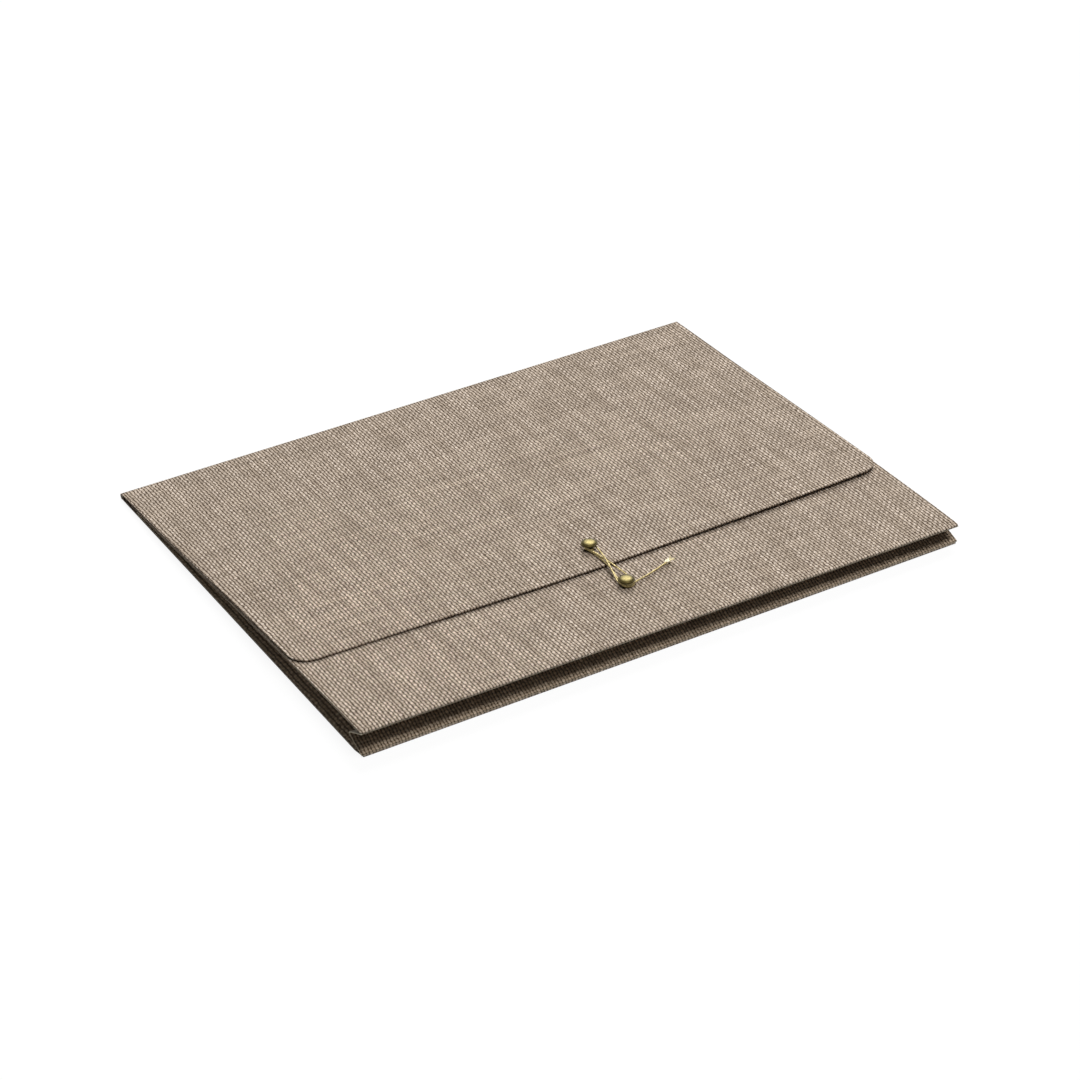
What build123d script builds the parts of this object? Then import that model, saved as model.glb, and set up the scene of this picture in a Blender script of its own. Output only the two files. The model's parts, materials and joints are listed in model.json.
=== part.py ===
from build123d import *
import os
from math import atan, cos, pi, radians, sin, sqrt, tan

# Document wallet of cloth covered card. It lies on its back panel. Bellows join the back panel to
# the front panel along the front edge and both sides. The mouth is at the far edge, where a flap
# hinges, folds over the front panel and is tied down by a gold string wound on two brass studs.
# Millimetres. X is the width, Y runs from the front edge to the mouth, Z is up. The origin is on
# the table, under the middle of the back panel.

# Overall sizes
width = 325.0
depth = 245.0
front_height = 12.2  # top of the front panel above the table, along the front edge

# Sheet materials
board = 0.8  # cloth covered board of the panels and the flap
lining = 0.15  # paper pasted on the inside of each panel
strip = 0.3  # cloth and paper of the side bellows and their glue tabs
front_strip = 0.5  # scored card of the front bellows

# Bellows
leaf = 14.5  # one leaf, from crease to crease
crease = 1.0  # flat band along the inner crease, where two leaves lie face to face
corner_gap = 0.53  # height kept between a side leaf and the front leaf that it passes over
tab = 10.0  # glue tab under the front panel
tab_end = 3.0  # bare length of panel past each end of a tab

# Mouth and flap
mouth_setback = 10.0  # front panel stops this far short of the far edge
mouth_gap = 0.4  # between the two linings at the mouth
bellows_setback = 8.0  # side bellows stop this far short of the front panel's mouth edge
flap_line = 58.5  # free edge of the flap, measured back from the front edge
flap_slack = 1.1  # air under the free edge of the flap
flap_taper = 0.8  # each side of the flap draws in by this towards the free edge
flap_corner = 10.0
panel_corner = 1.2
mouth_corner = 3.0
lining_inset = 2.5
front_fold = 0.45  # rounding of the front panel's folded edge

# Studs
front_stud_x = -0.6
flap_stud_x = 0.4
front_stud_line = 39.5  # measured back from the front edge
flap_stud_line = 73.5
head_radius = 4.0
head_height = 1.65
head_rim = 0.35
stud_rise = 3.0  # clear height of the post between the cloth and the head
post_radius = 1.5
post_bore = 0.85
post_bore_depth = 1.6
shoulder_radius = 2.5
shoulder = 0.35
washer_radius = 3.4
washer = 0.25
clinch_radius = 2.3
clinch = 0.25
post_fit = 0.04  # radial clearance of the post in its holes

# String
cord = 0.65  # across the thread, drawn as a plain tube of few sides
cord_sides = 6
hitch_radius = 2.1  # middle line of the loop tied round the flap stud's post
knot_radius = 1.1
knot_length = 2.6
knot_flank = 0.35  # share of the knot's length that each of its ends swells over
tuft_radius = 1.35
tuft_length = 3.8

front_y = -depth / 2
far_y = depth / 2

# The front panel hangs on its front crease and slopes down to the mouth.
pivot_z = front_height - board
mouth_y = far_y - mouth_setback
mouth_under = board + lining + mouth_gap + lining
front_tilt = atan((pivot_z - mouth_under) / (mouth_y - front_y))
front_length = (mouth_y - front_y) / cos(front_tilt)
front_normal = (0, sin(front_tilt), cos(front_tilt))
front_under = Plane(origin=(0, front_y, pivot_z), x_dir=(1, 0, 0), z_dir=front_normal)


def front_floor(y):
    """Height of the front panel's underside at y."""
    return pivot_z - (y - front_y) * tan(front_tilt)


def front_top(y):
    """Height of the front panel's cloth face at y."""
    return front_floor(y) + board / cos(front_tilt)


# The flap turns about the middle of the fold along the far edge, which wraps from the back panel
# round to the flap.
flap_under_at_crease = front_top(mouth_y) + lining
fold_inner = (flap_under_at_crease - board) / 2
fold_outer = fold_inner + board
hinge_y = far_y - fold_outer
hinge_z = fold_outer
flap_edge_y = front_y + flap_line
flap_rise = front_top(flap_edge_y) + lining + flap_slack - flap_under_at_crease
flap_tilt = atan(flap_rise / (hinge_y - flap_edge_y))
flap_length = (hinge_y - flap_edge_y) / cos(flap_tilt)
flap_normal = (0, sin(flap_tilt), cos(flap_tilt))
flap_origin = (0, hinge_y + fold_inner * sin(flap_tilt), hinge_z + fold_inner * cos(flap_tilt))
flap_under = Plane(origin=flap_origin, x_dir=(1, 0, 0), z_dir=flap_normal)

# Stud places along each sloping panel, and the foot of each stud on the cloth face.
front_stud_run = front_stud_line / cos(front_tilt)
flap_stud_run = (front_y + flap_stud_line - flap_origin[1]) / cos(flap_tilt)
front_foot = front_under.from_local_coords((front_stud_x, front_stud_run, board))
flap_foot = flap_under.from_local_coords((flap_stud_x, flap_stud_run, board))
hole_radius = post_radius + post_fit

os.makedirs("parts", exist_ok=True)

# Back panel, flat on the table, and its lining between the side bellows.
with BuildPart() as back_panel:
    with BuildSketch() as back_outline:
        with Locations((0, (front_y + hinge_y) / 2)):
            Rectangle(width, hinge_y - front_y)
        fillet(back_outline.vertices().group_by(Axis.Y)[0], panel_corner)
    extrude(amount=board)
back_panel.part.label = "back_panel"
export_step(back_panel.part, "parts/back_panel.step")

side_inset = leaf + crease
with BuildPart() as back_lining:
    with BuildSketch(Plane.XY.offset(board)):
        Rectangle(width - 2 * side_inset, depth - 2 * side_inset)
    extrude(amount=lining)
back_lining.part.label = "back_lining"
export_step(back_lining.part, "parts/back_lining.step")


# Front panel: a board with a soft folded front edge, pierced for its stud.
with BuildPart() as front_panel:
    with BuildSketch(front_under) as front_outline:
        with Locations((0, front_length / 2)):
            Rectangle(width, front_length)
        fillet(front_outline.vertices().group_by(Axis.Y)[-1], mouth_corner)
        fillet(front_outline.vertices().group_by(Axis.Y)[0], panel_corner)
        with Locations((front_stud_x, front_stud_run)):
            Circle(hole_radius, mode=Mode.SUBTRACT)
    extrude(amount=board)
    fold_edge = front_panel.edges().filter_by(Axis.X).group_by(Axis.Y)[0].sort_by(Axis.Z)[-1]
    fillet(fold_edge, front_fold)
front_panel.part.label = "front_panel"
export_step(front_panel.part, "parts/front_panel.step")

lining_side = tab + lining_inset
with BuildPart() as front_lining:
    with BuildSketch(front_under):
        with Locations((0, front_length / 2)):
            Rectangle(width - 2 * lining_side, front_length - 2 * lining_inset)
        with Locations((front_stud_x, front_stud_run)):
            Circle(hole_radius, mode=Mode.SUBTRACT)
    extrude(amount=-lining)
front_lining.part.label = "front_lining"
export_step(front_lining.part, "parts/front_lining.step")


# Flap with rounded free corners, drawn in a little towards the free edge, and its lining.
flap_half = width / 2
flap_free_half = width / 2 - flap_taper
with BuildPart() as flap:
    with BuildSketch(flap_under) as flap_outline:
        with BuildLine():
            Polyline(
                (-flap_half, 0),
                (-flap_free_half, -flap_length),
                (flap_free_half, -flap_length),
                (flap_half, 0),
                close=True,
            )
        make_face()
        fillet(flap_outline.vertices().group_by(Axis.Y)[0], flap_corner)
        with Locations((flap_stud_x, flap_stud_run)):
            Circle(hole_radius, mode=Mode.SUBTRACT)
    extrude(amount=board)
flap.part.label = "flap"
export_step(flap.part, "parts/flap.step")

with BuildPart() as flap_lining:
    with BuildSketch(flap_under) as flap_lining_outline:
        with Locations((0, -flap_length / 2)):
            Rectangle(2 * (flap_free_half - lining_inset), flap_length - 2 * lining_inset)
        fillet(flap_lining_outline.vertices().group_by(Axis.Y)[0], flap_corner - lining_inset)
        with Locations((flap_stud_x, flap_stud_run)):
            Circle(hole_radius, mode=Mode.SUBTRACT)
    extrude(amount=-lining)
flap_lining.part.label = "flap_lining"
export_step(flap_lining.part, "parts/flap_lining.step")


# Fold along the far edge: half a ring of card from the back panel's end round to the flap's.
flap_end = pi / 2 - flap_tilt
hinge = (hinge_y, hinge_z)


def on_fold(radius, angle):
    """A point of the fold's section, by radius and angle about the hinge line."""
    return (hinge[0] + radius * cos(angle), hinge[1] + radius * sin(angle))


mid_fold = (flap_end - pi / 2) / 2
with BuildPart() as flap_crease:
    with BuildSketch(Plane.YZ.offset(-width / 2)):
        with BuildLine():
            ThreePointArc(
                on_fold(fold_outer, -pi / 2),
                on_fold(fold_outer, mid_fold),
                on_fold(fold_outer, flap_end),
            )
            Line(on_fold(fold_outer, flap_end), on_fold(fold_inner, flap_end))
            ThreePointArc(
                on_fold(fold_inner, flap_end),
                on_fold(fold_inner, mid_fold),
                on_fold(fold_inner, -pi / 2),
            )
            Line(on_fold(fold_inner, -pi / 2), on_fold(fold_outer, -pi / 2))
        make_face()
    extrude(amount=width)
flap_crease.part.label = "flap_crease"
export_step(flap_crease.part, "parts/flap_crease.step")


# The side leaves are cut on the slant at the front and start one lap behind the front edge. The
# lap is where they pass over the front leaves with the gap to spare at their inner creases.
corner_rise = (pivot_z - board) / 2
corner_reach = sqrt(leaf**2 - corner_rise**2)
corner_slope = corner_rise / corner_reach
corner_lap = (corner_gap + strip + tan(front_tilt) * corner_reach) / (corner_slope - tan(front_tilt))

# Bellows. A pair of leaves is a V on its side: the lower leaf rises inward from the back panel
# to the inner crease, and the upper leaf goes on from there out to the panel above.
def leaf_section(roof, card, upper):
    """Corners of one leaf's section: distance in from the edge, and height."""
    rise = (roof - board) / 2
    reach = sqrt(leaf**2 - rise**2)
    middle = board + rise
    corners = [
        (0, board),
        (0, board + card),
        (reach - crease, middle),
        (reach, middle),
        (reach, middle - card),
        (reach - crease, middle - card),
    ]
    if upper:
        corners = [(inward, 2 * middle - height) for inward, height in corners]
    return corners


for level, upper in (("lower", False), ("upper", True)):
    section = leaf_section(pivot_z, front_strip, upper)
    with BuildPart() as front_bellows:
        with BuildSketch(Plane.YZ.offset(-width / 2)):
            with BuildLine():
                Polyline([(front_y + inward, height) for inward, height in section], close=True)
            make_face()
        extrude(amount=width)
    front_bellows.part.label = f"front_bellows_{level}"
    export_step(front_bellows.part, f"parts/front_bellows_{level}.step")

# The side bellows narrow with the wedge between the panels, so each leaf is a ruled sheet between
# a tall section at the front and a nearly shut one at the mouth, cut on the slant at both ends.
bellows_end = mouth_y - bellows_setback
for side, sign in (("left", -1), ("right", 1)):
    for level, upper in (("lower", False), ("upper", True)):
        with BuildPart() as side_bellows:
            for y in (front_y, bellows_end):
                section = leaf_section(front_floor(y) - strip, strip, upper)
                with BuildSketch(Plane.XZ.offset(-y)):
                    with BuildLine():
                        Polyline(
                            [(sign * (width / 2 - inward), height) for inward, height in section],
                            close=True,
                        )
                    make_face()
            loft(ruled=True)
            with BuildSketch():
                with BuildLine():
                    Polyline(
                        (sign * (width / 2 + crease), front_y + corner_lap - crease),
                        (sign * (width / 2 - leaf), front_y + corner_lap + leaf),
                        (sign * (width / 2 - leaf), bellows_end - leaf),
                        (sign * (width / 2 + crease), bellows_end + crease),
                        close=True,
                    )
                make_face()
            extrude(amount=front_height, mode=Mode.INTERSECT)
        side_bellows.part.label = f"{side}_bellows_{level}"
        export_step(side_bellows.part, f"parts/{side}_bellows_{level}.step")

    # Glue tab: the side bellows' outer margin, pasted to the front panel's underside.
    tab_run = (bellows_end - front_y) / cos(front_tilt) - corner_lap - 2 * tab_end
    with BuildPart() as glue_tab:
        with BuildSketch(front_under):
            with Locations((sign * (width / 2 - tab / 2), corner_lap + tab_end + tab_run / 2)):
                Rectangle(tab, tab_run)
        extrude(amount=-strip)
    glue_tab.part.label = f"{side}_glue_tab"
    export_step(glue_tab.part, f"parts/{side}_glue_tab.step")


# Studs: a domed head on a shouldered tubular post, clinched over a washer inside the panel.
def profile_plane(foot, normal):
    """Plane through a stud's axis, with its second direction along the stud."""
    return Plane(origin=foot, x_dir=(1, 0, 0), z_dir=(0, -normal[2], normal[1]))


studs = {"front": (front_foot, front_normal), "flap": (flap_foot, flap_normal)}
washer_top = -board - lining
clinch_top = washer_top - washer
clinch_foot = clinch_top - clinch
for place, (foot, normal) in studs.items():
    stud_plane = profile_plane(foot, normal)
    stud_axis = Axis(foot, normal)

    with BuildPart() as stud_head:
        with BuildSketch(stud_plane):
            with BuildLine():
                Line((0, stud_rise), (head_radius - head_rim, stud_rise))
                TangentArc(
                    (head_radius - head_rim, stud_rise),
                    (head_radius, stud_rise + head_rim),
                    tangent=(1, 0),
                )
                TangentArc(
                    (0, stud_rise + head_height),
                    (head_radius, stud_rise + head_rim),
                    tangent=(1, 0),
                )
                Line((0, stud_rise + head_height), (0, stud_rise))
            make_face()
        revolve(axis=stud_axis)
    stud_head.part.label = f"{place}_stud_head"
    export_step(stud_head.part, f"parts/{place}_stud_head.step")

    with BuildPart() as stud_post:
        with BuildSketch(stud_plane):
            with BuildLine():
                Polyline(
                    (0, stud_rise),
                    (post_radius, stud_rise),
                    (post_radius, shoulder),
                    (shoulder_radius, shoulder),
                    (shoulder_radius, 0),
                    (post_radius, 0),
                    (post_radius, clinch_top),
                    (clinch_radius, clinch_top),
                    (clinch_radius, clinch_foot),
                    (post_bore, clinch_foot),
                    (post_bore, clinch_foot + post_bore_depth),
                    (0, clinch_foot + post_bore_depth),
                    close=True,
                )
            make_face()
        revolve(axis=stud_axis)
    stud_post.part.label = f"{place}_stud_post"
    export_step(stud_post.part, f"parts/{place}_stud_post.step")

    with BuildPart() as stud_washer:
        with BuildSketch(stud_plane):
            with Locations(((hole_radius + washer_radius) / 2, washer_top - washer / 2)):
                Rectangle(washer_radius - hole_radius, washer)
        revolve(axis=stud_axis)
    stud_washer.part.label = f"{place}_stud_washer"
    export_step(stud_washer.part, f"parts/{place}_stud_washer.step")


# String. It is tied to the flap stud by its hitch, runs to the front stud, back round the flap
# stud and to the front stud again, and ends in a loose tail. All its strands cross at one waist
# over the flap, each above the last. Points of the pulled stretches stand where it turns a post.
route = [
    (0.10, -51.05, 11.90),  # on the hitch
    (0.70, -62.30, 12.50),  # crossing, lowest strand
    (-3.10, -83.60, 11.49),  # first turn, round the front stud
    (-1.75, -85.60, 11.49),
    (0.85, -86.00, 11.49),
    (3.10, -84.60, 11.49),
    (3.90, -81.30, 11.60),
    (0.75, -62.50, 13.20),  # crossing, middle strand
    (-1.82, -48.70, 12.83),  # second turn, round the flap stud
    (-0.79, -46.91, 12.83),
    (1.25, -46.56, 12.83),
    (3.10, -48.10, 12.83),
    (0.70, -62.70, 13.90),  # crossing, top strand
    (-4.10, -80.90, 12.60),  # third turn, part of the way round the front stud
    (-3.30, -84.70, 12.55),
    (-0.90, -86.00, 12.55),
    (3.20, -84.75, 12.35),  # tail
    (10.60, -83.00, 11.85),
    (17.40, -80.80, 11.40),
    (23.70, -78.20, 11.60),
]
run_share = 0.45  # part of the shorter run that each corner's arc uses

points = [Vector(*point) for point in route]
radii = []
for before, corner, after in zip(points, points[1:], points[2:]):
    bend = radians((corner - before).get_angle(after - corner))
    shorter = min((corner - before).length, (after - corner).length)
    radii.append(run_share * shorter / tan(bend / 2))

with BuildPart() as closing_string:
    with BuildLine() as string_line:
        FilletPolyline(*points, radius=radii)
    with BuildSketch(Plane(origin=string_line.line @ 0, z_dir=string_line.line % 0)) as cord_section:
        RegularPolygon(cord / 2, cord_sides)
    sweep()
closing_string.part.label = "closing_string"
export_step(closing_string.part, "parts/closing_string.step")

string_length = sum(edge.length for edge in string_line.edges())
section_volume = cord_section.sketch.area * string_length
print("string radii", [round(radius, 1) for radius in radii])
print("string length", round(string_length, 1), "tightest", round(min(radii), 2))
print("string volume", round(closing_string.part.volume, 2), "section by length", round(section_volume, 2))

# Hitch: the loop that ties the string to the flap stud's post. It lies on the post's shoulder.
with BuildPart() as string_hitch:
    with BuildSketch(profile_plane(flap_foot, flap_normal)):
        with Locations((hitch_radius, shoulder + cord / 2)):
            RegularPolygon(cord / 2, cord_sides, rotation=90 / cord_sides)
    revolve(axis=Axis(flap_foot, flap_normal))
string_hitch.part.label = "string_hitch"
export_step(string_hitch.part, "parts/string_hitch.step")

# Knot at the string's free end, and the frayed tuft beyond it.
end_direction = (points[-1] - points[-2]).normalized()
knot_plane = Plane(origin=points[-1], z_dir=end_direction)
with BuildPart() as string_knot:
    swell = ((0, cord), (knot_flank, knot_radius), (1 - knot_flank, knot_radius), (1, cord))
    for share, radius in swell:
        with BuildSketch(knot_plane.offset(share * knot_length)):
            RegularPolygon(radius, 2 * cord_sides)
    loft(ruled=True)
string_knot.part.label = "string_knot"
export_step(string_knot.part, "parts/string_knot.step")

with BuildPart() as string_tuft:
    for share, radius in ((0, cord / 2), (1, tuft_radius)):
        with BuildSketch(knot_plane.offset(knot_length + share * tuft_length)):
            RegularPolygon(radius, 2 * cord_sides)
    loft(ruled=True)
string_tuft.part.label = "string_tuft"
export_step(string_tuft.part, "parts/string_tuft.step")
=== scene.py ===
import bpy
import json
import math
import numpy as np
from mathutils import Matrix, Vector


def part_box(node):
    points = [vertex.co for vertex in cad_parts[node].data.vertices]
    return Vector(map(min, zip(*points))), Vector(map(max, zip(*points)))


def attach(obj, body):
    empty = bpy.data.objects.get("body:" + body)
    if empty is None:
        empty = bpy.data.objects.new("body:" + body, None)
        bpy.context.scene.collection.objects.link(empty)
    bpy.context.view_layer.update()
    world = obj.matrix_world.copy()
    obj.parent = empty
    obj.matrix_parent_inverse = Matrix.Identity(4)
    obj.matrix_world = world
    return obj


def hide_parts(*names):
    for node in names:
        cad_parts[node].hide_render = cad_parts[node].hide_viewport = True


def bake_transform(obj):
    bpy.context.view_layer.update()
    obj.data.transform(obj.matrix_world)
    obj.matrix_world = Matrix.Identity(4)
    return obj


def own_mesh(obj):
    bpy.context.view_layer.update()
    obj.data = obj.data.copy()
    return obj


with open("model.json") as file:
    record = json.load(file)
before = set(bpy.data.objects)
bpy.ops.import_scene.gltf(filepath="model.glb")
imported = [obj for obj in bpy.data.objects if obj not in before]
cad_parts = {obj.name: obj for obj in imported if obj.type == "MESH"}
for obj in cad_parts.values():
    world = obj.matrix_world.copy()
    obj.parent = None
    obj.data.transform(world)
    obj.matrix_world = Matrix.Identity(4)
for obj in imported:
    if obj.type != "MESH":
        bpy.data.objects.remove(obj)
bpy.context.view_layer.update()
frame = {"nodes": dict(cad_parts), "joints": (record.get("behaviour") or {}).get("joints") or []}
print("frame loaded")

# Document wallet, as a working model. Lengths below are millimetres and become metres in makePiece.
# x is the width, y runs from the front edge to the mouth, z is up.
mm = 0.001
rng = np.random.default_rng(11)


def boxMm(node):
    low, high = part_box(node)
    return np.array(low) / mm, np.array(high) / mm


def jointMm(name):
    return next(np.array(j["pos_m"]) / mm for j in frame["joints"] if j["name"] == name)


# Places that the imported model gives
backLow, backHigh = boxMm("back_panel")
frontLow, frontHigh = boxMm("front_panel")
flapLow, flapHigh = boxMm("flap")
halfWidth = backHigh[0]
frontY = backLow[1]
board = backHigh[2]
depth = boxMm("flap_crease")[1][1] - frontY
pivotZ = jointMm("mouth_gape")[2]
hingeY, hingeZ = jointMm("flap_fold")[1:]
frontTilt = math.atan2(pivotZ - frontLow[2], frontHigh[1] - frontY)
frontLength = (frontHigh[1] - frontY) / math.cos(frontTilt)
foldInner = hingeZ - board
flapTilt = math.atan2(flapHigh[2] - board - flapLow[2], hingeY - flapLow[1])
flapLength = (hingeY - flapLow[1]) / math.cos(flapTilt)

# How the real one has settled
settling = {
    "twist": 1.5,  # the front left corner stands this much high, and the right one low
    "wave": 0.22,  # height of the soft waves
    "waves": 2.3,  # half waves from the middle to a side
    "dish": 1.35,  # both sides stand this much higher than the middle
    "dishLean": 0.7,  # under one, so that the dish is deepest in front of the middle
    "fold": 0.40,  # fall of the front panel's face at its front edge
    "foldRun": 1.7,  # run over which it falls
    "edgeDrop": 0.75,  # left end of the flap's free edge lies this much lower
    "dropSpan": (12, 135),  # way from the middle where the drop starts, and its width
    "edgeLift": 0.45,  # right end of it stands this much higher
    "liftSpan": (25, 100),
    "tie": 0.15,  # the string draws the middle of it down
    "tieWidth": 35,
    "bulge": (-1.1, 2.5),  # run that the free edge loses at its middle, a gain, and more at its ends
    "bulgePower": 1.2,
    "shift": -0.7,  # sideways shift of the flap, full after a third of its run
}


# Smooth step from nought to one: three squares less two cubes
def ease(t):
    t = np.clip(t, 0, 1)
    return t * t * (3 - 2 * t)


# The top twists in proportion to x and to the distance from the far edge, its dish is the square
# of x times a sine that peaks in front of the middle, and its waves are a product of sines that is
# nought along x = 0, where the studs stand.
def settleTop(p):
    across = p[..., 0] / halfWidth
    inward = np.clip((p[..., 1] - frontY) / depth, 0, 1)
    twist = -settling["twist"] * across * (1 - inward)
    wave = settling["wave"] * np.sin(settling["waves"] * math.pi * across) * np.sin(math.pi * inward)
    bowl = np.sin(math.pi * inward ** settling["dishLean"])
    dish = settling["dish"] * np.clip(np.abs(across), 0, 1) ** 2 * bowl
    out = p.copy()
    out[..., 2] += twist + wave + dish
    return out


# Flat sheet coordinates are x, run and height over the sheet's underside.
def placeBack(p):
    return np.stack([p[..., 0], frontY + p[..., 1], p[..., 2]], -1)


# The front panel is tilted about the front fold. Its upper face falls off towards that edge, by a
# smooth step in the run.
def placeFront(p):
    face = np.clip(p[..., 2] / board, 0, 1)
    fold = settling["fold"] * ease(1 - p[..., 1] / settling["foldRun"]) * face
    p = np.concatenate([p[..., :2], p[..., 2:] - fold[..., None]], -1)
    y = frontY + p[..., 1] * math.cos(frontTilt) + p[..., 2] * math.sin(frontTilt)
    z = pivotZ - p[..., 1] * math.sin(frontTilt) + p[..., 2] * math.cos(frontTilt)
    return settleTop(np.stack([p[..., 0], y, z], -1))


# The flap runs back from the far fold. Its free edge drops at the left and lifts at the right, by
# the cube of the run, is drawn down near the string by the sixth power, and bulges in plan by the
# square.
def placeFlap(p):
    h = foldInner + p[..., 2]
    far = p[..., 1] / flapLength
    beyond = np.clip(far, 0, 2)
    middle, ends = settling["bulge"]
    bowed = middle + ends * np.abs(p[..., 0] / halfWidth) ** settling["bulgePower"]
    tied = -settling["tie"] / (1 + (p[..., 0] / settling["tieWidth"]) ** 2) * beyond**6
    y = hingeY - p[..., 1] * math.cos(flapTilt) + h * math.sin(flapTilt)
    z = hingeZ + p[..., 1] * math.sin(flapTilt) + h * math.cos(flapTilt)
    (dropFrom, dropWidth), (liftFrom, liftWidth) = settling["dropSpan"], settling["liftSpan"]
    left = -settling["edgeDrop"] * ease((-p[..., 0] - dropFrom) / dropWidth)
    right = settling["edgeLift"] * ease((p[..., 0] - liftFrom) / liftWidth)
    y = y + bowed * beyond**2
    z = z + (left + right) * far**3 + tied
    x = p[..., 0] + settling["shift"] * ease(far * 3)
    return settleTop(np.stack([x, y, z], -1))


# One closed mesh from points in millimetres and blocks of faces, each block with its corner UVs
# and material number. Faces are turned outwards if the enclosed volume comes out negative.
def makePiece(name, points, blocks, materials):
    points = np.asarray(points, float).reshape(-1, 3)
    volume = 0.0
    for faces, _, _ in blocks:
        a = points[faces[:, 0]]
        for k in range(1, faces.shape[1] - 1):
            area = np.cross(points[faces[:, k]], points[faces[:, k + 1]])
            volume += np.einsum("ij,ij->i", a, area).sum()
    if volume < 0:
        blocks = [(f[:, ::-1], uv[:, ::-1], m) for f, uv, m in blocks]
    mesh = bpy.data.meshes.new(name)
    mesh.from_pydata((points * mm).tolist(), [], sum((f.tolist() for f, _, _ in blocks), []))
    layer = mesh.uv_layers.new(name="Sheet")
    layer.data.foreach_set("uv", np.concatenate([uv.reshape(-1, 2) for _, uv, _ in blocks]).ravel())
    numbers = np.concatenate([np.full(len(f), m) for f, _, m in blocks])
    mesh.polygons.foreach_set("material_index", numbers.astype(np.int32))
    mesh.polygons.foreach_set("use_smooth", np.full(len(mesh.polygons), True))
    for material in materials:
        mesh.materials.append(material)
    mesh.update()
    piece = bpy.data.objects.new(name, mesh)
    bpy.context.scene.collection.objects.link(piece)
    return piece


# Quads of a grid whose points are numbered row by row, from first on. A closed grid joins its last
# column to its first.
def gridQuads(rows, cols, first=0, closed=False):
    across = np.arange(cols if closed else cols - 1)
    r, c = np.meshgrid(np.arange(rows - 1), across, indexing="ij")
    right = (c + 1) % cols
    corners = [r * cols + c, r * cols + right, (r + 1) * cols + right, (r + 1) * cols + c]
    return np.stack(corners, -1).reshape(-1, 4) + first


# Numbers of a grid's outermost points, in order round it
def rimOf(rows, cols):
    index = np.arange(rows * cols).reshape(rows, cols)
    return np.concatenate([index[0, :-1], index[:-1, -1], index[-1, :0:-1], index[:0:-1, 0]])


# Quads between two loops, and their UVs from those of the loops
def bandBetween(a, b, uvA, uvB):
    band = np.stack([np.roll(a, -1), a, b, np.roll(b, -1)], 1)
    return band, np.stack([np.roll(uvA, -1, 0), uvA, uvB, np.roll(uvB, -1, 0)], 1)


def atHeight(flat, height):
    return np.concatenate([flat, np.full((len(flat), 1), height)], 1)


# A panel or paper sheet: a grid for each face, joined round the rim by rings that follow a
# quarter circle out, the edge, and a quarter circle back in. Its rows are crowded towards both
# ends by a share, pull, of half a cosine, and its corners are cut in by quarter circles. Its UVs
# are x and run, carried on over the rim, and way turns the run about.
def makeSheet(name, sheet, place, materials, uvShift=(0, 0)):
    e, t, lift = sheet["edge"], sheet["thick"], sheet.get("lift", 0.0)
    start, end = sheet.get("start", 0.0) + e, sheet["length"] - e
    rows, cols = sheet["rows"], sheet["cols"]
    s = np.linspace(0, 1, rows)
    pull = sheet.get("pull", 0.0)
    s = (1 - pull) * s + pull * (1 - np.cos(math.pi * s)) / 2
    run = start + (end - start) * s
    half = sheet["half"] - e - sheet.get("taper", 0.0) * run / sheet["length"]
    for corner, gap in (("nearCorner", run - start), ("farCorner", end - run)):
        radius = max(sheet.get(corner, 0) - e, 1e-6)
        reach = np.clip(radius - gap, 0, radius)
        half = half - (radius - np.sqrt(radius**2 - reach**2))
    x = sheet.get("middle", 0.0) + half[:, None] * np.linspace(-1, 1, cols)[None]
    flat = np.stack([x, np.repeat(run[:, None], cols, 1)], -1).reshape(-1, 2)

    rim = rimOf(rows, cols)
    loop = flat[rim]
    tangent = np.roll(loop, -1, 0) - np.roll(loop, 1, 0)
    normal = np.stack([tangent[:, 1], -tangent[:, 0]], -1)
    normal /= np.linalg.norm(normal, axis=1)[:, None]
    angles = np.linspace(0, math.pi / 2, 4)[1:]
    downs = e * (1 - np.cos(angles))
    outs = np.concatenate([e * np.sin(angles), e * np.sin(angles[::-1])])
    heights = np.concatenate([t - downs, downs[::-1]])
    rings = [atHeight(loop + o * normal, lift + h) for o, h in zip(outs, heights)]
    points = np.concatenate([atHeight(flat, lift + t), atHeight(flat, lift)] + rings)

    count, n = rows * cols, len(loop)
    chain = [rim] + [2 * count + k * n + np.arange(n) for k in range(len(rings))] + [count + rim]
    steps = np.concatenate([[[0, t]], np.stack([outs, heights], 1), [[0, 0]]])
    gaps = np.linalg.norm(np.diff(steps, axis=0), axis=1)
    travel = np.concatenate([[0], np.cumsum(gaps)])
    shift, way = np.array(uvShift), np.array([1, sheet.get("way", 1)])
    chainUv = [(loop + shift + d * normal) * way for d in travel]
    flatUv = (flat + shift) * way
    quads = gridQuads(rows, cols)
    back = quads[:, ::-1]
    blocks = [(quads, flatUv[quads], 0), (back + count, flatUv[back], 0)]
    for a, b, uvA, uvB in zip(chain, chain[1:], chainUv, chainUv[1:]):
        blocks.append((*bandBetween(a, b, uvA, uvB), 0))
    return makePiece(name, place(points), blocks, materials)


# A strip given by a grid of middle points and a grid of normals, with square cut edges. Its
# materials are the outside, the inside and, where cuts says so, the cut edges.
def makeStrip(name, middle, normals, thick, uv, materials, cuts):
    rows, cols = middle.shape[:2]
    outside, inside = middle + normals * thick / 2, middle - normals * thick / 2
    points = np.concatenate([outside.reshape(-1, 3), inside.reshape(-1, 3)])
    count = rows * cols
    quads = gridQuads(rows, cols)
    back = quads[:, ::-1]
    flatUv = uv.reshape(-1, 2)
    rim = rimOf(rows, cols)
    band, uvBand = bandBetween(rim, rim + count, flatUv[rim], flatUv[rim])
    blocks = [(quads, flatUv[quads], 0), (back + count, flatUv[back], 1), (band, uvBand, cuts)]
    return makePiece(name, points, blocks, materials)


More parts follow.
